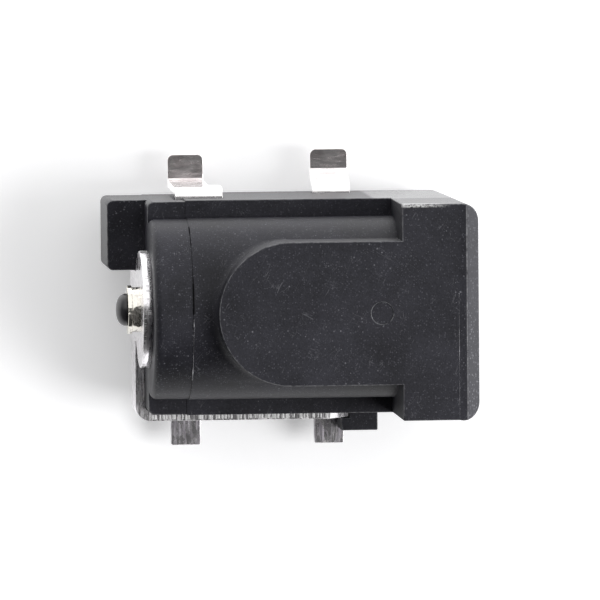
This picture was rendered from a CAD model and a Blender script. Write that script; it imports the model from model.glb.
# %% [markdown]
# # A board-mount barrel power jack
# The real jack is six pieces: one black moulding, a drawn pin with a plastic core, a stamped plate
# behind it, a leaf spring and a switch blade. Their solids are already modelled in a CAD program.
# This lesson loads those solids and gives each one what a solid model leaves out: the small radii
# that every moulded and stamped edge has, the marks of the mould and the press, and the finishes.

import math

import bmesh
import bpy
from mathutils import Matrix, Vector


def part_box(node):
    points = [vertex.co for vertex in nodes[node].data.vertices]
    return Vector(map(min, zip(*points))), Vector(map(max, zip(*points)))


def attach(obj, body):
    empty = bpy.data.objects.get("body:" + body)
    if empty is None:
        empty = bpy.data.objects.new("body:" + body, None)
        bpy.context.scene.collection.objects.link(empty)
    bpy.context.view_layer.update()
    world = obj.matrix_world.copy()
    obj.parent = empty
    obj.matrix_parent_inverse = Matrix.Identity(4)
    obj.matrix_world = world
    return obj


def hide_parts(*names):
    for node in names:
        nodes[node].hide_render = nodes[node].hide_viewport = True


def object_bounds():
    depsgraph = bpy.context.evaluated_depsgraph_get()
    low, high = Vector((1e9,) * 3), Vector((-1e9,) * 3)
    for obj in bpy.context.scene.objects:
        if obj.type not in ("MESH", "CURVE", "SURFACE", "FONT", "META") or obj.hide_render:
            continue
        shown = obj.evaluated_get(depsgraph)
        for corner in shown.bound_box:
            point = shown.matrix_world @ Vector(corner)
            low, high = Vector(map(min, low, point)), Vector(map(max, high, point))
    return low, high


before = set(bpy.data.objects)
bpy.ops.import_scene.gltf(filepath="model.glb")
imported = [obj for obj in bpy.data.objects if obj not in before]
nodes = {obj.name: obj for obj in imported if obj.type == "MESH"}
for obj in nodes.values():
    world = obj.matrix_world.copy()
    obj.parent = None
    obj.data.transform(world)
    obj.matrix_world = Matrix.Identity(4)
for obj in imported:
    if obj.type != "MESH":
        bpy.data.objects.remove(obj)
solid_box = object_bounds()
print("solids:", sorted(nodes))

# %% [markdown]
# The jack is only 15 mm long, so this file thinks in millimetres and turns them into Blender's
# metres at the last moment. The places of the big features are read from the solids' boxes. A few
# stations that no box gives, such as the line where two halves of the mould meet, are repeated here.
# NEAR is how close a point has to be to one of them to count as lying on it.

# %% Stations of the jack, in millimetres
MM = 0.001
ROOT = "root"


def box_mm(node):
    """Lowest and highest corner of a solid, in millimetres."""
    low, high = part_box(node)
    return low / MM, high / MM


def new_object(name, data):
    """Object for some data, linked into the scene."""
    made = bpy.data.objects.new(name, data)
    bpy.context.scene.collection.objects.link(made)
    return made


pin_low, pin_high = box_mm("centre_pin")
plate_low, plate_high = box_mm("centre_terminal")
shell_high = box_mm("housing")[1]
AXIS_Z = (pin_low.z + pin_high.z) / 2
WALL_Y = 4.5
SLIDE_X = -3.5
LIP_X = 7.5
BARREL_R = 3.8
PAD_Z = 11.0
SHEET_T = 0.4
CORE_R = 0.6
DISC_R = plate_high.z - AXIS_Z
LEG_TOP_Z = 3.8
LEG_CUT = 0.85
LEG_TOP_END_X = plate_high.x - LEG_CUT
NEAR = 0.003
print(f"axis at z = {AXIS_Z:.2f} mm, disc radius {DISC_R:.2f} mm")

# %% [markdown]
# The camera stands almost straight above the jack, like one on a copy stand, leaning a few degrees
# towards the rear and the side with the spring contacts. A long lens from half a metre keeps the
# edges nearly parallel. The small shift centres the jack in the frame.

# %% Camera
CAMERA_AIM = Vector((1.4, 0.0, 4.0)) * MM
CAMERA_DISTANCE = 475.24 * MM
LEAN = [math.radians(angle) for angle in (-3.7292, -4.9487, -0.7788)]
LENS_MM = 676.7
SENSOR_MM = 36
SHIFT = (0.00275, 0.0058)

camera = new_object("camera", bpy.data.cameras.new("camera"))
bpy.context.scene.camera = camera
camera.data.sensor_width = SENSOR_MM
camera.data.lens = LENS_MM
camera.data.shift_x, camera.data.shift_y = SHIFT
camera.data.clip_start = 0.01
camera.data.clip_end = 10
aim_turn = (
    Matrix.Rotation(LEAN[0], 4, "X")
    @ Matrix.Rotation(LEAN[1], 4, "Y")
    @ Matrix.Rotation(LEAN[2], 4, "Z")
)
camera.matrix_world = (
    Matrix.Translation(CAMERA_AIM) @ aim_turn @ Matrix.Translation((0, 0, CAMERA_DISTANCE))
)
print("camera at", [round(value, 4) for value in camera.matrix_world.translation])

# %% [markdown]
# Every finish below is a small network of nodes. A few helpers keep the building of them short: one
# adds a node and wires it up, others add arithmetic, a change of range or a mix of two colours. A
# value that is a socket becomes a link, and any other value is typed into the node's own field.

# %% Helpers for nodes
def put(tree, kind, wires=None, **settings):
    """Adds a node: settings are its options, wires its inputs by name or number."""
    node = tree.nodes.new(kind)
    for key, value in settings.items():
        setattr(node, key, value)
    for key, value in (wires or {}).items():
        if isinstance(value, bpy.types.NodeSocket):
            tree.links.new(value, node.inputs[key])
        else:
            node.inputs[key].default_value = value
    return node


def calc(tree, operation, *terms, clamp=False):
    """One step of arithmetic, as its output socket."""
    wires = dict(enumerate(terms))
    return put(tree, "ShaderNodeMath", wires, operation=operation, use_clamp=clamp).outputs[0]


def product(tree, *terms):
    """Product of two or more values."""
    total = terms[0]
    for term in terms[1:]:
        total = calc(tree, "MULTIPLY", total, term)
    return total


def remap(tree, value, low, high, to_low=0.0, to_high=1.0):
    """Stretches low..high of a value to another range, clamped."""
    wires = {0: value, 1: low, 2: high, 3: to_low, 4: to_high}
    return put(tree, "ShaderNodeMapRange", wires, clamp=True).outputs[0]


def blend_colour(tree, share, first, second):
    """Mixes two colours; share 1 is all second."""
    wires = {0: share, 6: first, 7: second}
    return put(tree, "ShaderNodeMix", wires, data_type="RGBA").outputs[2]


def colour(red, green, blue):
    """Opaque colour of three linear parts."""
    return (red, green, blue, 1.0)


def lay_over(tree, tone, layers):
    """Lays colours over a tone; layers holds each one's share and colour, lowest first."""
    for share, over in layers:
        tone = blend_colour(tree, share, tone, over)
    return tone


print("node helpers ready")

# %% [markdown]
# Plastic and metal share some effects, such as scratches and worn edges. Each of those could be built
# again in every material, but a node group is built once and then takes its own values wherever it
# is placed. Groups hand out only masks, tones and heights; the shader stays in the material.

# %% Helpers for node groups
def new_group(name, inputs, outputs, kind="ShaderNodeTree"):
    """Node group with named sockets, as (group, its input node, its output node)."""
    group = bpy.data.node_groups.new(name, kind)
    for label, socket, value in inputs:
        made = group.interface.new_socket(label, in_out="INPUT", socket_type=socket)
        if value is not None:
            made.default_value = value
    for label, socket in outputs:
        group.interface.new_socket(label, in_out="OUTPUT", socket_type=socket)
    return group, group.nodes.new("NodeGroupInput"), group.nodes.new("NodeGroupOutput")


def use_group(tree, group, **wires):
    """Places a node group; underscores in the names stand for spaces."""
    node = tree.nodes.new("ShaderNodeGroup")
    node.node_tree = group
    for key, value in wires.items():
        socket = node.inputs[key.replace("_", " ")]
        if isinstance(value, bpy.types.NodeSocket):
            tree.links.new(value, socket)
        else:
            socket.default_value = value
    return node.outputs


print("group helpers ready")

# %% [markdown]
# The inside of the mould was spark-eroded, which leaves a fine dull grain on the plastic. It is a
# mix of two noises, one for the grain itself and one, 25 times coarser, for slow changes of tone.
# A picture of real grain would do as well, but noise needs no file and never repeats. The group hands
# out a height for the bump and a tone for colour and roughness.

# %% Shared effect: moulded grain
VECTOR, FLOAT = "NodeSocketVector", "NodeSocketFloat"
grain, g_in, g_out = new_group(
    "Moulded grain",
    [("Place", VECTOR, None), ("Size", FLOAT, 0.05)],
    [("Height", FLOAT), ("Tone", FLOAT)],
)
fine_scale = calc(grain, "DIVIDE", 1.0, g_in.outputs["Size"])
fine = put(grain, "ShaderNodeTexNoise",
           {"Vector": g_in.outputs["Place"], "Scale": fine_scale, "Detail": 3.0, "Roughness": 0.6})
slow_scale = product(grain, fine_scale, 0.04)
slow = put(grain, "ShaderNodeTexNoise",
           {"Vector": g_in.outputs["Place"], "Scale": slow_scale, "Detail": 4.0})
grain.links.new(fine.outputs[0], g_out.inputs["Height"])
tone = calc(grain, "ADD", product(grain, fine.outputs[0], 0.4),
            product(grain, slow.outputs[0], 0.6))
grain.links.new(tone, g_out.inputs["Tone"])
print("group:", grain.name)

# %% [markdown]
# Handled plastic carries pale specks of dust. They could be tiny meshes, but dust this small has only
# a colour to show. Cells of a Voronoi texture give each speck its own place, and the cell's random
# colour decides whether it has a speck at all, and how big it is.

# %% Shared effect: dust specks
dust, d_in, d_out = new_group(
    "Dust specks",
    [("Place", VECTOR, None), ("Spacing", FLOAT, 0.3), ("Radius", FLOAT, 0.03), ("Share", FLOAT, 0.3)],
    [("Mask", FLOAT)],
)
cells = put(dust, "ShaderNodeTexVoronoi",
            {"Vector": d_in.outputs["Place"],
             "Scale": calc(dust, "DIVIDE", 1.0, d_in.outputs["Spacing"])})
lot = put(dust, "ShaderNodeSeparateColor", {0: cells.outputs["Color"]})
reach = calc(dust, "DIVIDE", d_in.outputs["Radius"], d_in.outputs["Spacing"])
own_reach = product(dust, reach, remap(dust, lot.outputs[1], 0.0, 1.0, 0.4, 1.2))
near = calc(dust, "DIVIDE", cells.outputs["Distance"], own_reach)
spot = remap(dust, near, 1.0, 0.5)
chosen = calc(dust, "LESS_THAN", lot.outputs[0], d_in.outputs["Share"])
faint = remap(dust, lot.outputs[2], 0.0, 1.0, 0.25, 1.0)
dust.links.new(product(dust, spot, chosen, faint), d_out.inputs["Mask"])
print("group:", dust.name)

# %% [markdown]
# Fine hairline scratches come from parts rubbing together in the bag. Drawing them one by one would
# take a picture of the whole part. Here each is a contour line of a stretched noise, which stays
# thin all along, and a second noise breaks the contours into short strokes.

# %% Shared effect: hairline scratches
hairs, h_in, h_out = new_group(
    "Hairline scratches",
    [("Place", VECTOR, None), ("Turn", FLOAT, 0.0), ("Width", FLOAT, 0.02), ("Share", FLOAT, 0.3)],
    [("Mask", FLOAT)],
)
turned_place = put(hairs, "ShaderNodeVectorRotate",
                   {"Vector": h_in.outputs["Place"], "Angle": h_in.outputs["Turn"]},
                   rotation_type="Z_AXIS")
stretched = put(hairs, "ShaderNodeVectorMath",
                {0: turned_place.outputs[0], 1: (2.2, 0.35, 1.0)}, operation="MULTIPLY")
contour = put(hairs, "ShaderNodeTexNoise",
              {"Vector": stretched.outputs[0], "Scale": 1.3, "Detail": 2.0})
off_line = calc(hairs, "ABSOLUTE", calc(hairs, "SUBTRACT", contour.outputs[0], 0.5))
line = remap(hairs, calc(hairs, "DIVIDE", off_line, h_in.outputs["Width"]), 1.0, 0.0)
strokes = put(hairs, "ShaderNodeTexNoise",
              {"Vector": h_in.outputs["Place"], "Scale": 1.7, "Detail": 1.0})
cut_off = calc(hairs, "SUBTRACT", 0.8, product(hairs, h_in.outputs["Share"], 0.6))
stroke = remap(hairs, calc(hairs, "SUBTRACT", strokes.outputs[0], cut_off), 0.0, 0.05)
hairs.links.new(product(hairs, line, stroke), h_out.inputs["Mask"])
print("group:", hairs.name)

# %% [markdown]
# Plated strip is rolled before it is stamped, so its plating has long streaks. The streaks follow
# the strip, so the group stretches its noise by a vector that each material sets for itself.

# %% Shared effect: rolled streaks
streaks, s_in, s_out = new_group(
    "Rolled streaks",
    [("Place", VECTOR, None), ("Stretch", VECTOR, (1.0, 1.0, 1.0)), ("Contrast", FLOAT, 1.0)],
    [("Tone", FLOAT), ("Height", FLOAT)],
)
along = put(streaks, "ShaderNodeVectorMath",
            {0: s_in.outputs["Place"], 1: s_in.outputs["Stretch"]}, operation="MULTIPLY")
bend = put(streaks, "ShaderNodeTexNoise",
           {"Vector": along.outputs[0], "Scale": 1.0, "Detail": 5.0, "Roughness": 0.65,
            "Distortion": 0.4})
waves = put(streaks, "ShaderNodeTexNoise",
            {"Vector": along.outputs[0], "Scale": 0.8, "Detail": 1.0})
patch = put(streaks, "ShaderNodeTexNoise",
            {"Vector": s_in.outputs["Place"], "Scale": 2.5, "Detail": 3.0})
both = calc(streaks, "ADD", product(streaks, bend.outputs[0], 0.7),
            product(streaks, patch.outputs[0], 0.3))
spread = product(streaks, calc(streaks, "SUBTRACT", both, 0.5), s_in.outputs["Contrast"])
streaks.links.new(calc(streaks, "ADD", spread, 0.5, clamp=True), s_out.inputs["Tone"])
streaks.links.new(waves.outputs[0], s_out.inputs["Height"])
print("group:", streaks.name)

# %% [markdown]
# Edges wear first. The Bevel node could find them, but it works at every render. Instead the pieces
# carry an attribute, `rounded`, that is 1 on their small edge radii, and this group breaks that band
# up with a noise, so that wear comes and goes along an edge.

# %% Shared effect: worn edges
worn, w_in, w_out = new_group(
    "Worn edges",
    [("Rounded", FLOAT, 0.0), ("Place", VECTOR, None), ("Amount", FLOAT, 0.5)],
    [("Mask", FLOAT)],
)
rub = put(worn, "ShaderNodeTexNoise",
          {"Vector": w_in.outputs["Place"], "Scale": 3.0, "Detail": 4.0, "Roughness": 0.7})
bare = remap(worn, rub.outputs[0], 0.35, 0.65)
mask = product(worn, bare, w_in.outputs["Rounded"], w_in.outputs["Amount"])
worn.links.new(mask, w_out.inputs["Mask"])
print("group:", worn.name)

# %% [markdown]
# Each material starts from the same three nodes: a Principled shader, the object coordinates turned
# into millimetres, and the `rounded` attribute. After that each finish goes its own way.

# %% Start of a material
def start_material(name, **plain):
    """Material with a Principled shader; returns it with its tree, shader, place and edge mask."""
    material = bpy.data.materials.new(name)
    material.use_nodes = True
    tree = material.node_tree
    tree.nodes.clear()
    shader = put(tree, "ShaderNodeBsdfPrincipled")
    for key, value in plain.items():
        shader.inputs[key.replace("_", " ")].default_value = value
    finish = put(tree, "ShaderNodeOutputMaterial")
    tree.links.new(shader.outputs[0], finish.inputs[0])
    source = put(tree, "ShaderNodeTexCoord")
    place = put(tree, "ShaderNodeVectorMath", {0: source.outputs["Object"], "Scale": 1 / MM},
                operation="SCALE").outputs[0]
    edge = put(tree, "ShaderNodeAttribute", attribute_name="rounded").outputs["Fac"]
    return material, tree, shader, place, edge


def set_bump(tree, shader, height, depth_mm, strength=1.0):
    """Wires a height to the shader's normal, with the depth of the relief in millimetres."""
    bump = put(tree, "ShaderNodeBump",
               {"Strength": strength, "Distance": depth_mm * MM, "Height": height})
    tree.links.new(bump.outputs[0], shader.inputs["Normal"])


print("material starter ready")

# %% [markdown]
# The housing is glass-filled nylon, dyed black with a slight blue cast. How its surface looks depends
# on the place. That could be painted, but masks worked out from places follow the part's own faces.
# There are five, each from 0 to 1: the tops, the chamfer above the mouth, the +Y flank of the front
# slab, where those two are frosted, and the scuffed edge above the flank.

# %% Masks of the housing
TOPS_Z = (6.2, 6.7)
CHAMFER_X, CHAMFER_Z = (7.84, 7.92), (9.9, 10.2)
FLANK_X, FLANK_Y = (4.3, 4.5), (4.44, 4.5)
FROST_Y = (-4.5, 1.0)
SCUFF_END_X, SCUFF_Y, SCUFF_Z = (7.2, 6.0), (4.36, 4.44), (10.4, 10.7)


def housing_masks(tree, place, relief):
    """Masks of the tops, the chamfer, the flank, the frosted parts and the scuffed edge."""
    x, y, z = put(tree, "ShaderNodeSeparateXYZ", {0: place}).outputs
    tops = remap(tree, z, *TOPS_Z)
    chamfer = product(tree, remap(tree, x, *CHAMFER_X), remap(tree, z, *CHAMFER_Z))
    slab = remap(tree, x, *FLANK_X)
    flank = product(tree, slab, remap(tree, y, *FLANK_Y))
    frosted = product(tree, calc(tree, "MAXIMUM", chamfer, flank),
                      remap(tree, y, *FROST_Y, 0.95, 0.45))
    scuff = product(tree, slab, remap(tree, x, *SCUFF_END_X), remap(tree, y, *SCUFF_Y),
                    remap(tree, z, *SCUFF_Z), remap(tree, relief, 0.35, 0.55))
    return tops, chamfer, flank, frosted, scuff


print("housing masks ready")

# %% [markdown]
# Glass fibres break the surface into a fine pale salt, strongest on the tops, and the chamfer and the
# flank are frosted more coarsely. Dust gathers in drifts with a few larger crumbs, and two sets of
# hairline scratches cross each other. The recipe is used twice: in the second the worn parts are
# much paler, for the flash of the mould.

# %% Finish: black moulded plastic
NYLON_LOW, NYLON_HIGH = colour(0.004, 0.004, 0.006), colour(0.026, 0.0258, 0.034)
CHAMFER_TONE, FROST_TONE = colour(0.12, 0.12, 0.13), colour(0.24, 0.24, 0.26)
SALT_TONE, SCRATCH_TONE = colour(0.085, 0.085, 0.1), colour(0.2, 0.2, 0.22)
DUST_TONE, SCUFF_TONE = colour(0.19, 0.19, 0.21), colour(0.6, 0.6, 0.6)


def housing_finish(name, worn_tone):
    """Black nylon; worn_tone is the grey that its small radii wear to."""
    material, tree, shader, place, edge = start_material(name, Specular_IOR_Level=0.22)
    grain_out = use_group(tree, grain, Place=place, Size=0.08)
    tops, chamfer, flank, frosted, scuff = housing_masks(tree, place, grain_out["Height"])
    salt = use_group(tree, dust, Place=place, Spacing=0.085, Radius=0.034, Share=0.5)[0]
    frost = use_group(tree, dust, Place=place, Spacing=0.1, Radius=0.05, Share=0.6)[0]
    specks = use_group(tree, dust, Place=place, Spacing=0.17, Radius=0.04, Share=0.5)[0]
    crumbs = use_group(tree, dust, Place=place, Spacing=1.1, Radius=0.055, Share=0.3)[0]
    scratch = use_group(tree, hairs, Place=place, Turn=0.5, Width=0.006, Share=0.45)[0]
    cross = use_group(tree, hairs, Place=place, Turn=2.1, Width=0.005, Share=0.4)[0]
    wear = use_group(tree, worn, Rounded=edge, Place=place, Amount=0.9)[0]
    drift = put(tree, "ShaderNodeTexNoise", {"Vector": place, "Scale": 0.55, "Detail": 3.0})
    drifted = product(tree, specks, remap(tree, drift.outputs[0], 0.46, 0.6, 0.08, 0.75))
    body = blend_colour(tree, remap(tree, grain_out["Tone"], 0.3, 0.7), NYLON_LOW, NYLON_HIGH)
    final = lay_over(tree, body, [
        (product(tree, chamfer, 0.4), CHAMFER_TONE),
        (product(tree, frost, frosted), FROST_TONE),
        (product(tree, salt, remap(tree, tops, 0.0, 1.0, 0.6, 0.8)), SALT_TONE),
        (product(tree, calc(tree, "MAXIMUM", scratch, cross), 0.25), SCRATCH_TONE),
        (calc(tree, "MAXIMUM", drifted, product(tree, crumbs, 0.65)), DUST_TONE),
        (scuff, SCUFF_TONE),
        (wear, colour(worn_tone, worn_tone, worn_tone * 1.06)),
    ])
    tree.links.new(final, shader.inputs["Base Color"])
    rough = calc(tree, "ADD", remap(tree, tops, 0.0, 1.0, 0.36, 0.44),
                 product(tree, grain_out["Tone"], 0.12))
    tree.links.new(calc(tree, "SUBTRACT", rough, product(tree, flank, 0.14)),
                   shader.inputs["Roughness"])
    relief = calc(tree, "SUBTRACT", grain_out["Height"], product(tree, scratch, 0.6))
    set_bump(tree, shader, relief, 0.012, 0.6)
    return material


nylon = housing_finish("moulded_nylon", 0.17)
pale_nylon = housing_finish("rubbed_nylon", 0.5)
print("materials:", nylon.name, pale_nylon.name)

# %% [markdown]
# The pin's core is a smoother black plastic. It has hardly any grain and only a few specks, so its
# dome shows a soft highlight. The grime in the seam of the mould is nearly black and quite dull.

# %% Finishes: black core and seam grime
def core_finish():
    """Smooth black plastic with a few specks."""
    material, tree, shader, place, _ = start_material("smooth_core", Specular_IOR_Level=0.5)
    grain_out = use_group(tree, grain, Place=place, Size=0.08)
    specks = use_group(tree, dust, Place=place, Spacing=0.5, Radius=0.03, Share=0.25)[0]
    body = blend_colour(tree, grain_out["Tone"], colour(0.012, 0.012, 0.013),
                        colour(0.022, 0.022, 0.024))
    dusty = blend_colour(tree, product(tree, specks, 0.5), body, colour(0.3, 0.3, 0.3))
    tree.links.new(dusty, shader.inputs["Base Color"])
    tree.links.new(remap(tree, grain_out["Tone"], 0.2, 0.8, 0.24, 0.36), shader.inputs["Roughness"])
    set_bump(tree, shader, grain_out["Height"], 0.003, 0.3)
    return material


core_black = core_finish()


def grime_finish():
    """Nearly black and dull, for the seam's crevice."""
    material, tree, shader, place, _ = start_material("seam_grime", Specular_IOR_Level=0.05)
    grain_out = use_group(tree, grain, Place=place, Size=0.1)
    body = blend_colour(tree, grain_out["Tone"], colour(0.001, 0.001, 0.001), colour(0.006, 0.006, 0.007))
    tree.links.new(body, shader.inputs["Base Color"])
    tree.links.new(remap(tree, grain_out["Tone"], 0.2, 0.8, 0.8, 1.0), shader.inputs["Roughness"])
    return material


seam_grime = grime_finish()
print("materials:", core_black.name, seam_grime.name)

# %% [markdown]
# The pin is bright nickel on brass. It is nearly a mirror, so most of its look is what it reflects;
# the nodes only add turning lines round the axis, shallow dents that break up the reflections, and a
# trace of warm brass where the edge is worn.

# %% Finish: bright nickel
def nickel_finish():
    """Mirror-like plating with turning lines, dents and a warmer tone on worn edges."""
    material, tree, shader, place, edge = start_material("bright_nickel", Metallic=1.0)
    ring = use_group(tree, streaks, Place=place, Stretch=(22.0, 0.6, 0.6), Contrast=1.4)
    wear = use_group(tree, worn, Rounded=edge, Place=place, Amount=0.35)[0]
    body = blend_colour(tree, ring["Tone"], colour(0.62, 0.6, 0.54), colour(0.8, 0.78, 0.72))
    final = blend_colour(tree, wear, body, colour(0.82, 0.74, 0.55))
    tree.links.new(final, shader.inputs["Base Color"])
    tree.links.new(remap(tree, ring["Tone"], 0.3, 0.7, 0.1, 0.2), shader.inputs["Roughness"])
    dents = put(tree, "ShaderNodeTexNoise", {"Vector": place, "Scale": 2.2, "Detail": 2.0})
    relief = calc(tree, "ADD", product(tree, ring["Height"], 0.04), dents.outputs[0])
    set_bump(tree, shader, relief, 0.12)
    return material


nickel = nickel_finish()
print("material:", nickel.name)

# %% [markdown]
# The three stamped contacts share one recipe with different values: rolled streaks, a few nicks, and
# small radii that are brighter and rougher than the flats. The stretch vector lays the streaks along
# the strip. The solder feet are stained in patches, and the rest of the strip has only a small share
# of that stain. One function with a few values keeps the metals alike where they should be.

# %% Finish: plated strip
NICK_TONE, RUBBED_TONE = colour(0.9, 0.89, 0.86), colour(0.95, 0.94, 0.92)
STAIN_FADE = 0.08


def strip_finish(name, dark, bright, stretch, contrast, rough, nick_share, depth, upper_stain,
                 foot_top=0.42, metal=1.0):
    """Plating between two tones; the full stain ends at foot_top, in millimetres."""
    material, tree, shader, place, edge = start_material(name, Metallic=metal)
    rolled = use_group(tree, streaks, Place=place, Stretch=stretch, Contrast=contrast)
    z = put(tree, "ShaderNodeSeparateXYZ", {0: place}).outputs[2]
    stain = remap(tree, z, foot_top + STAIN_FADE, foot_top, upper_stain, 1.0)
    dull = product(tree, stain, calc(tree, "SUBTRACT", 1.0, rolled["Tone"]))
    body = blend_colour(tree, calc(tree, "SUBTRACT", 1.0, dull), dark, bright)
    clouds = put(tree, "ShaderNodeTexNoise", {"Vector": place, "Scale": 1.6, "Detail": 4.0})
    tarnish = product(tree, remap(tree, clouds.outputs[0], 0.48, 0.62, 0.0, 0.7), stain)
    nicks = use_group(tree, hairs, Place=place, Turn=0.9, Width=0.02, Share=nick_share)[0]
    wear = use_group(tree, worn, Rounded=edge, Place=place, Amount=0.8)[0]
    final = lay_over(tree, body, [
        (tarnish, dark),
        (product(tree, nicks, 0.5), NICK_TONE),
        (wear, RUBBED_TONE),
    ])
    tree.links.new(final, shader.inputs["Base Color"])
    streaked = remap(tree, rolled["Tone"], 0.2, 0.8, rough[1], rough[0])
    tree.links.new(calc(tree, "ADD", streaked, product(tree, wear, 0.4), clamp=True),
                   shader.inputs["Roughness"])
    set_bump(tree, shader, rolled["Height"], depth)
    return material


print("strip recipe ready")

# %% [markdown]
# The terminal's sheet has bold streaks between grey and white, and the spring contacts are tinned
# and more even. Where the press has sheared the sheet the metal is clean: the fine ridges along the
# disc's rim shine, while the coarse burrs along the leg scatter light almost like chalk, so they are
# hardly metallic.

# %% Four plated metals
plate_metal = strip_finish("plated_terminal", colour(0.34, 0.32, 0.35), colour(0.97, 0.95, 0.97),
                           stretch=(8.0, 0.9, 1.6), contrast=6.0, rough=(0.16, 0.36),
                           nick_share=0.5, depth=0.012, upper_stain=0.12)
sheared = strip_finish("sheared_edge", colour(0.8, 0.79, 0.78), colour(0.99, 0.98, 0.97),
                       stretch=(3.0, 3.0, 3.0), contrast=2.0, rough=(0.14, 0.26),
                       nick_share=0.2, depth=0.004, upper_stain=0.5)
torn = strip_finish("torn_edge", colour(0.9, 0.89, 0.88), colour(1.0, 1.0, 0.98),
                    stretch=(3.0, 3.0, 3.0), contrast=2.0, rough=(0.3, 0.5),
                    nick_share=0.2, depth=0.004, upper_stain=0.5, metal=0.2)
tin = strip_finish("dull_tin", colour(0.64, 0.58, 0.58), colour(0.97, 0.95, 0.95),
                   stretch=(1.2, 6.0, 6.0), contrast=3.2, rough=(0.16, 0.28),
                   nick_share=0.3, depth=0.006, upper_stain=0.06, foot_top=0.3)
print("materials:", plate_metal.name, sheared.name, torn.name, tin.name)

# %% [markdown]
# A solid from CAD has knife-sharp edges. No moulded or stamped part has: the mould is cut with a
# small radius and the press rolls the edge over. So each solid is copied, the loose triangles are
# merged, flat areas become single faces, and every sharp outer edge is bevelled. A Bevel modifier
# could do it, but the bmesh tools let the script leave an edge out by its place, such as the low step
# at the seam, and mark the new band in the `rounded` attribute for the wear group. The work is done
# at 1000 times the size, where the tools' smallest steps do no harm.

# %% Helpers: round the edges of a copy
MERGE_MM = 0.004
FLAT_ANGLE = math.radians(0.6)
SHARP_ANGLE = math.radians(27)


def bench_copy(node):
    """Merged copy of a solid as a bmesh in millimetres, its flat areas joined."""
    mesh = nodes[node].data.copy()
    custom = mesh.attributes.get("custom_normal")
    if custom:
        mesh.attributes.remove(custom)
    mesh.transform(Matrix.Scale(1 / MM, 4))
    bench = bmesh.new()
    bench.from_mesh(mesh)
    bpy.data.meshes.remove(mesh)
    clean(bench)
    return bench


def clean(bench):
    """Merges close points and turns flat areas into single faces."""
    bmesh.ops.remove_doubles(bench, verts=bench.verts, dist=MERGE_MM)
    bmesh.ops.dissolve_limit(bench, angle_limit=FLAT_ANGLE, verts=bench.verts, edges=bench.edges)
    bmesh.ops.dissolve_degenerate(bench, dist=MERGE_MM, edges=bench.edges)


def round_edges(bench, radius, segments=3):
    """Bevels the sharp outer edges, apart from the seam's, and marks the band in `rounded`."""
    sharp = [edge for edge in bench.edges
             if len(edge.link_faces) == 2 and edge.calc_face_angle_signed() > SHARP_ANGLE
             and not all(abs(vert.co.x - SLIDE_X) < NEAR for vert in edge.verts)]
    made = bmesh.ops.bevel(bench, geom=sharp, offset=radius, offset_type="OFFSET",
                           segments=segments, profile=0.5, affect="EDGES", clamp_overlap=False,
                           loop_slide=True)
    band = set(made["faces"])
    layer = bench.verts.layers.float.new("rounded")
    for vert in bench.verts:
        vert[layer] = 1.0 if all(face in band for face in vert.link_faces) else 0.0
    for face in bench.faces:
        face.smooth = True
    for edge in bench.edges:
        edge.smooth = edge.calc_face_angle(0.0) < SHARP_ANGLE
    return len(sharp)


print("edge helpers ready")

# %% [markdown]
# The rounded copy goes back to metres. Its normals are weighted by the size of the faces, so that the
# flats stay flat in the light and only the small radii turn. Then the piece stands for its solid.

# %% Helpers: from the bench to a piece
def to_piece(bench, name, material):
    """Turns the bench mesh into a smooth-shaded object in metres, with even normals."""
    mesh = bpy.data.meshes.new(name)
    bench.to_mesh(mesh)
    bench.free()
    mesh.transform(Matrix.Scale(MM, 4))
    mesh.materials.append(material)
    piece = new_object(name, mesh)
    even = piece.modifiers.new("even_normals", "WEIGHTED_NORMAL")
    even.mode = "FACE_AREA"
    even.weight = 50
    even.keep_sharp = True
    return bake_modifiers(piece)


def bake_modifiers(piece):
    """Replaces the mesh by the result of its modifiers, which are removed."""
    seen = piece.evaluated_get(bpy.context.evaluated_depsgraph_get())
    mesh = bpy.data.meshes.new_from_object(seen)
    piece.modifiers.clear()
    piece.data = mesh
    return piece


def dress(node, name, material, radius, segments=3, ease=None):
    """Rounded copy of a solid that stands for it; ease may reshape the sharp copy first."""
    bench = bench_copy(node)
    if ease:
        ease(bench)
        clean(bench)
    sharp = round_edges(bench, radius, segments)
    piece = to_piece(bench, name, material)
    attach(piece, ROOT)
    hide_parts(node)
    print(f"{name}: {sharp} sharp edges rounded to {radius} mm, {len(piece.data.polygons)} faces")


print("piece helpers ready")

# %% [markdown]
# Two solids need a touch before their edges are rounded. The housing's step behind the front slab is
# only 0.02 mm, too low to round, so it fades out, and its +Y wall is brought level with the slab. The
# core still holds the disc where its head joins its shank, so that inner disc is deleted.

# %% Touches to two solids
def ease_steps(bench):
    """Fades the low step behind the front slab and brings the +Y wall level with the slab."""
    for vert in bench.verts:
        x, y, z = vert.co
        if abs(x - LIP_X) < NEAR:
            vert.co.z = min(z, PAD_Z)
            vert.co.y = max(y, -WALL_Y)
        if abs(y - WALL_Y) < NEAR and x > SLIDE_X - NEAR:
            vert.co.y = shell_high.y


def open_core(bench):
    """Deletes the disc that is left inside the core, where its head joins its shank."""
    def on_disc(vert):
        off_axis = math.hypot(vert.co.y, vert.co.z - AXIS_Z)
        return abs(vert.co.x - pin_low.x) < NEAR and off_axis < CORE_R + NEAR

    inner = [face for face in bench.faces if all(on_disc(vert) for vert in face.verts)]
    bmesh.ops.delete(bench, geom=inner, context="FACES")


print("touches ready")

# %% [markdown]
# The housing's outer edges get 0.05 mm, a normal radius for a mould. The drawn pin and its core get
# less, and the stamped strips the least, since their sheared edges stay crisp.

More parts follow.
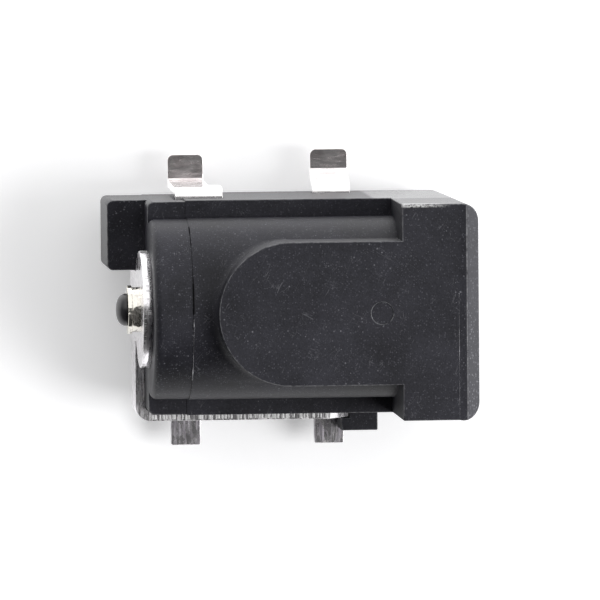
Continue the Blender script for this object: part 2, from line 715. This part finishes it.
# %% The six pieces
dress("housing", "moulded_housing", nylon, radius=0.05, ease=ease_steps)
dress("centre_pin", "drawn_pin", nickel, radius=0.04)
dress("pin_core", "pin_insulator", core_black, radius=0.03, ease=open_core)
dress("centre_terminal", "stamped_terminal", plate_metal, radius=0.03, segments=2)
dress("sleeve_contact", "leaf_spring_contact", tin, radius=0.02, segments=2)
dress("switch_contact", "switch_blade", tin, radius=0.02, segments=2)

# %% [markdown]
# When a press shears a sheet, the cut edge is left with fine ridges across its thickness. Along the
# plate's disc and side leg they catch the light as a row of bright beads. A bump could only shade
# them, and they show at the outline too. So each ridge is a short round bar, and Geometry Nodes set
# them out along a path, at random sizes and with gaps.

# %% Geometry Nodes: shear ridges
ridges, r_in, r_out = new_group(
    "Shear ridges",
    [("Path", "NodeSocketGeometry", None), ("Pitch", FLOAT, 0.0), ("Radius", FLOAT, 0.0),
     ("Length", FLOAT, 0.0), ("Across", VECTOR, (1.0, 0.0, 0.0)), ("Share", FLOAT, 0.6),
     ("Seed", "NodeSocketInt", 1), ("Finish", "NodeSocketMaterial", None)],
    [("Ridges", "NodeSocketGeometry")],
    "GeometryNodeTree",
)
spaced = put(ridges, "GeometryNodeResampleCurve",
             {"Curve": r_in.outputs["Path"], "Length": r_in.outputs["Pitch"]}, mode="LENGTH")
dots = put(ridges, "GeometryNodeCurveToPoints", {"Curve": spaced.outputs[0]}, mode="EVALUATED")
sway = put(ridges, "FunctionNodeRandomValue",
           {2: -1.0, 3: 1.0, "Seed": r_in.outputs["Seed"]}, data_type="FLOAT")
slip_by = product(ridges, sway.outputs[1], product(ridges, r_in.outputs["Pitch"], 0.45))
slip = put(ridges, "ShaderNodeVectorMath",
           {0: dots.outputs["Tangent"], "Scale": slip_by}, operation="SCALE")
swayed = put(ridges, "GeometryNodeSetPosition",
             {"Geometry": dots.outputs["Points"], "Offset": slip.outputs[0]})
bar = put(ridges, "GeometryNodeMeshCylinder",
          {"Vertices": 8, "Radius": r_in.outputs["Radius"], "Depth": r_in.outputs["Length"]})
across = put(ridges, "FunctionNodeAlignRotationToVector", {"Vector": r_in.outputs["Across"]},
             axis="Z")
sizes = put(ridges, "FunctionNodeRandomValue",
            {0: (0.5, 0.5, 0.8), 1: (1.3, 1.3, 1.0), "Seed": r_in.outputs["Seed"]},
            data_type="FLOAT_VECTOR")
kept = put(ridges, "FunctionNodeRandomValue",
           {"Probability": r_in.outputs["Share"], "Seed": r_in.outputs["Seed"]},
           data_type="BOOLEAN")
placed = put(ridges, "GeometryNodeInstanceOnPoints",
             {"Points": swayed.outputs[0], "Selection": kept.outputs[3],
              "Instance": bar.outputs["Mesh"], "Rotation": across.outputs[0],
              "Scale": sizes.outputs[0]})
solid = put(ridges, "GeometryNodeRealizeInstances", {0: placed.outputs[0]})
plated = put(ridges, "GeometryNodeSetMaterial",
             {"Geometry": solid.outputs[0], "Material": r_in.outputs["Finish"]})
ridges.links.new(plated.outputs[0], r_out.inputs["Ridges"])
print("tree:", ridges.name)

# %% [markdown]
# A path is a plain curve through points worked out from the solid. The modifier's inputs are set by
# their identifiers before anything is evaluated, and the result is turned into a plain mesh.

# %% Helpers: paths and trees
def make_path(name, points):
    """Poly curve object through points in millimetres."""
    data = bpy.data.curves.new(name, "CURVE")
    data.dimensions = "3D"
    spline = data.splines.new("POLY")
    spline.points.add(len(points) - 1)
    for point, place in zip(spline.points, points):
        point.co = (*(Vector(place) * MM), 1.0)
    return new_object(name, data)


def grow(path, tree, name, **values):
    """Runs a geometry tree on a path and keeps the result as a plain mesh object."""
    modifier = path.modifiers.new(tree.name, "NODES")
    modifier.node_group = tree
    for item in tree.interface.items_tree:
        if item.item_type == "SOCKET" and item.in_out == "INPUT" and item.name in values:
            modifier[item.identifier] = values[item.name]
    seen = path.evaluated_get(bpy.context.evaluated_depsgraph_get())
    mesh = bpy.data.meshes.new_from_object(seen)
    path.modifiers.clear()
    bpy.data.objects.remove(path)
    mesh.name = name
    return new_object(name, mesh)


def join(name, parts):
    """Joins meshes of one material into a piece that rides with the jack."""
    whole = bmesh.new()
    for part in parts:
        whole.from_mesh(part.data)
    mesh = bpy.data.meshes.new(name)
    whole.to_mesh(mesh)
    whole.free()
    mesh.materials.append(parts[0].data.materials[0])
    for part in parts:
        bpy.data.objects.remove(part)
    piece = new_object(name, mesh)
    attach(piece, ROOT)
    print(f"{name}: {len(mesh.polygons)} faces")


def arc(x, radius, low_angle, high_angle, steps=90):
    """Points round the socket's axis; angles run in degrees from +Y towards +Z."""
    span = high_angle - low_angle
    turns = [math.radians(low_angle + span * step / steps) for step in range(steps + 1)]
    return [(x, radius * math.cos(turn), AXIS_Z + radius * math.sin(turn)) for turn in turns]


print("path helpers ready")

# %% [markdown]
# The ridges sit along the disc's rim, where it stands clear of the web below, and along the top of
# the side leg. They are sunk into the sheet so that only their backs show. On the rim they cross
# three quarters of the sheet on the +Y side and only its rear edge on the other; on the leg they are
# coarse burrs on the outer half.

# %% Shear ridges of the terminal
RIM_SINK, LEG_SINK = 0.008, 0.02
LIT_ARC, DARK_ARC, ARC_STEPS = (-40, 95), (95, 220), 160
REAR_INSET, LEG_INSET, LEG_SHORT = 0.08, 0.7, 0.1
rim_r = DISC_R - RIM_SINK
lit_path = make_path("lit_rim", arc(plate_low.x + SHEET_T / 2, rim_r, *LIT_ARC, ARC_STEPS))
lit_ridges = grow(lit_path, ridges, "lit_ridges", Pitch=0.085 * MM, Radius=0.016 * MM,
                  Length=0.3 * MM, Across=(1.0, 0.0, 0.0), Share=0.7, Seed=4, Finish=sheared)
dark_path = make_path("dark_rim", arc(plate_low.x + REAR_INSET, rim_r, *DARK_ARC, ARC_STEPS))
dark_ridges = grow(dark_path, ridges, "dark_ridges", Pitch=0.09 * MM, Radius=0.016 * MM,
                   Length=0.1 * MM, Across=(1.0, 0.0, 0.0), Share=0.7, Seed=9, Finish=sheared)
leg_ends = (plate_low.x + LEG_INSET, LEG_TOP_END_X - LEG_SHORT)
leg_path = make_path("leg_path", [(x, -WALL_Y - SHEET_T * 0.6, LEG_TOP_Z - LEG_SINK) for x in leg_ends])
leg_ridges = grow(leg_path, ridges, "leg_ridges", Pitch=0.14 * MM, Radius=0.055 * MM,
                  Length=0.22 * MM, Across=(0.0, 1.0, 0.0), Share=0.92, Seed=11, Finish=torn)
join("disc_shear_ridges", [lit_ridges, dark_ridges])
join("leg_shear_ridges", [leg_ridges])

# %% [markdown]
# Where two halves of the mould meet, a hair of plastic is squeezed out. A curve with a round bevel
# would give a wire of one thickness. Here a small profile is swept along the path, and a noise swells
# and starves it, so that the flash comes and goes as the real one does.

# %% Geometry Nodes: mould flash
flash, f_in, f_out = new_group(
    "Mould flash",
    [("Path", "NodeSocketGeometry", None), ("Step", FLOAT, 0.0), ("Radius", FLOAT, 0.0),
     ("Starved", FLOAT, 0.4), ("Grain", FLOAT, 500.0), ("Seed", FLOAT, 1.0),
     ("Finish", "NodeSocketMaterial", None)],
    [("Flash", "NodeSocketGeometry")],
    "GeometryNodeTree",
)
stepped = put(flash, "GeometryNodeResampleCurve",
              {"Curve": f_in.outputs["Path"], "Length": f_in.outputs["Step"]}, mode="LENGTH")
here = put(flash, "GeometryNodeInputPosition")
swell = put(flash, "ShaderNodeTexNoise",
            {"Vector": here.outputs[0], "W": f_in.outputs["Seed"], "Scale": f_in.outputs["Grain"],
             "Detail": 3.0}, noise_dimensions="4D")
starved = f_in.outputs["Starved"]
full = remap(flash, swell.outputs[0], starved, calc(flash, "ADD", starved, 0.12), 0.15, 1.0)
sized = put(flash, "GeometryNodeSetCurveRadius", {"Curve": stepped.outputs[0], "Radius": full})
profile = put(flash, "GeometryNodeCurvePrimitiveCircle",
              {"Resolution": 6, "Radius": f_in.outputs["Radius"]}, mode="RADIUS")
own_radius = put(flash, "GeometryNodeInputRadius")
swept = put(flash, "GeometryNodeCurveToMesh",
            {"Curve": sized.outputs[0], "Profile Curve": profile.outputs[0],
             "Scale": own_radius.outputs[0], "Fill Caps": True})
joined = put(flash, "GeometryNodeRealizeInstances", {0: swept.outputs[0]})
painted = put(flash, "GeometryNodeSetMaterial",
              {"Geometry": joined.outputs[0], "Material": f_in.outputs["Finish"]})
flash.links.new(painted.outputs[0], f_out.inputs["Flash"])
print("tree:", flash.name)

# %% [markdown]
# Two lines show flash: the arch where the rear slide meets the rest of the mould, and the -Y half of
# the step behind the front slab. On the -Y half of the arch it is rubbed pale, and on the +Y half
# the seam is a dark crevice filled with grime.

# %% Flash of the parting lines
STEP = 0.05 * MM
SEAM_SINK = 0.006
PALE_ARC, GRIME_ARC = (93, 138), (22, 90)
LIP_ENDS_Y = (-WALL_Y + 0.1, 0.8)


def seam_arc(low_angle, high_angle):
    """Path along the arch of the seam, a little below the surface."""
    return make_path("seam_path", arc(SLIDE_X, BARREL_R - SEAM_SINK, low_angle, high_angle))


def rubbed(piece):
    """Marks a whole piece as a worn edge, so that the finish pales it."""
    layer = piece.data.attributes.new("rounded", "FLOAT", "POINT")
    layer.data.foreach_set("value", [1.0] * len(layer.data))
    return piece


pale_arc = rubbed(grow(seam_arc(*PALE_ARC), flash, "pale_arc", Step=STEP, Radius=0.026 * MM,
                       Starved=0.42, Seed=3.0, Finish=pale_nylon))
lip_path = make_path("lip_path", [(LIP_X, y, PAD_Z) for y in LIP_ENDS_Y])
lip_flash = rubbed(grow(lip_path, flash, "lip_flash", Step=STEP, Radius=0.018 * MM,
                        Starved=0.5, Seed=8.0, Finish=pale_nylon))
seam_strip = grow(seam_arc(*GRIME_ARC), flash, "seam_strip", Step=STEP, Radius=0.034 * MM,
                  Starved=0.45, Seed=5.0, Finish=seam_grime)
join("mould_flash", [pale_arc, lip_flash])
join("dark_seam", [seam_strip])

# %% [markdown]
# The jack stands on its two pegs on a plain pale floor. The floor's colour is a little under white,
# and a touch of light that only the camera sees brings it up to white where nothing shades it, while
# the jack's own soft shadow stays. What reflections see is brighter towards +Y, as if a white card
# stood there; each ramp is two places along Y, in metres, and the light at each.

# %% Floor
FLOOR_GAP = 0.02 * MM
FLOOR_Z = solid_box[0][2] - FLOOR_GAP
FLOOR_SIZE = 3.0
CAMERA_LIFT = 0.29
CARD_RAMPS = [(-0.002, 0.006, 0.25, 0.82), (0.0065, 0.009, 0.0, 0.3)]


def make_floor():
    """One square face, with a material that is lifted for camera and glossy rays."""
    mesh = bpy.data.meshes.new("floor")
    half = FLOOR_SIZE / 2
    corners = [(-half, -half), (half, -half), (half, half), (-half, half)]
    mesh.from_pydata([(x, y, FLOOR_Z) for x, y in corners], [], [(0, 1, 2, 3)])
    material = bpy.data.materials.new("pale_floor")
    material.use_nodes = True
    tree = material.node_tree
    shader = tree.nodes["Principled BSDF"]
    shader.inputs["Base Color"].default_value = colour(0.88, 0.88, 0.89)
    shader.inputs["Roughness"].default_value = 0.7
    shader.inputs["Specular IOR Level"].default_value = 0.2
    shader.inputs["Emission Color"].default_value = colour(1, 1, 1)
    rays = put(tree, "ShaderNodeLightPath")
    source = put(tree, "ShaderNodeTexCoord")
    across = put(tree, "ShaderNodeSeparateXYZ", {0: source.outputs["Object"]}).outputs[1]
    card = calc(tree, "ADD", *[remap(tree, across, *ramp) for ramp in CARD_RAMPS])
    lift = calc(tree, "ADD", product(tree, rays.outputs["Is Camera Ray"], CAMERA_LIFT),
                product(tree, rays.outputs["Is Glossy Ray"], card))
    tree.links.new(lift, shader.inputs["Emission Strength"])
    mesh.materials.append(material)
    floor = new_object("floor", mesh)


make_floor()
print(f"floor at z = {FLOOR_Z / MM:.2f} mm")

# %% [markdown]
# The light is a dark tent with one open side. The sky straight above, where the camera stands, and
# on the -Y side is nearly black, so flat metal stays grey and the far side of the disc is dark. On
# the +Y side a wide white panel starts a few degrees off the zenith and makes the bends of the
# spring contacts shine; the mouth's side is bright too, and the rear only a little. The camera
# itself sees plain white. A lamp high over the mouth gives the shadow its side.

# %% World and lamp
ZENITH, FAR_SIDE, MOUTH_SIDE, REAR_SIDE, PANEL = 0.12, 0.04, 1.3, 0.26, 1.5
KEY_PLACE, KEY_AIM = Vector((0.255, -0.068, 0.325)), Vector((0.001, 0.0, 0.004))
KEY_SIZE, KEY_POWER = 0.2, 1.2


def make_world():
    """Sky whose brightness depends on the direction, in parts laid over one another."""
    world = bpy.data.worlds.new("tent")
    bpy.context.scene.world = world
    world.use_nodes = True
    tree = world.node_tree
    tree.nodes.clear()
    source = put(tree, "ShaderNodeTexCoord")
    x, y, _ = put(tree, "ShaderNodeSeparateXYZ", {0: source.outputs["Generated"]}).outputs
    level = remap(tree, y, -0.3, -0.05, FAR_SIDE, ZENITH)
    sideways = remap(tree, calc(tree, "ABSOLUTE", x), 0.3, 0.9, 1.0, 0.4)
    for share, target in [
        (remap(tree, x, 0.45, 0.95), MOUTH_SIDE),
        (remap(tree, x, -0.3, -0.9), REAR_SIDE),
        (product(tree, remap(tree, y, 0.1, 0.3), sideways), PANEL),
    ]:
        kept = product(tree, level, calc(tree, "SUBTRACT", 1.0, share))
        level = calc(tree, "ADD", kept, product(tree, share, target))
    sky = put(tree, "ShaderNodeCombineColor", {0: level, 1: level, 2: level}).outputs[0]
    rays = put(tree, "ShaderNodeLightPath")
    tint = blend_colour(tree, rays.outputs["Is Camera Ray"], sky, colour(1, 1, 1))
    background = put(tree, "ShaderNodeBackground", {0: tint, 1: 1.0})
    put(tree, "ShaderNodeOutputWorld", {0: background.outputs[0]})


def make_key_lamp():
    """Square soft lamp aimed at the jack."""
    lamp = bpy.data.lights.new("key", "AREA")
    lamp.shape = "SQUARE"
    lamp.size = KEY_SIZE
    lamp.energy = KEY_POWER
    holder = new_object("key", lamp)
    holder.location = KEY_PLACE
    holder.rotation_euler = (KEY_AIM - KEY_PLACE).to_track_quat("-Z", "Y").to_euler()


make_world()
make_key_lamp()
print("world and lamp ready")

# %% [markdown]
# The picture is shown with the Standard view, which leaves colours as they are written. The box of
# the finished jack is written beside the solid's box, because dressing must not change its size.

# %% Finish
bpy.context.scene.view_settings.view_transform = "Standard"
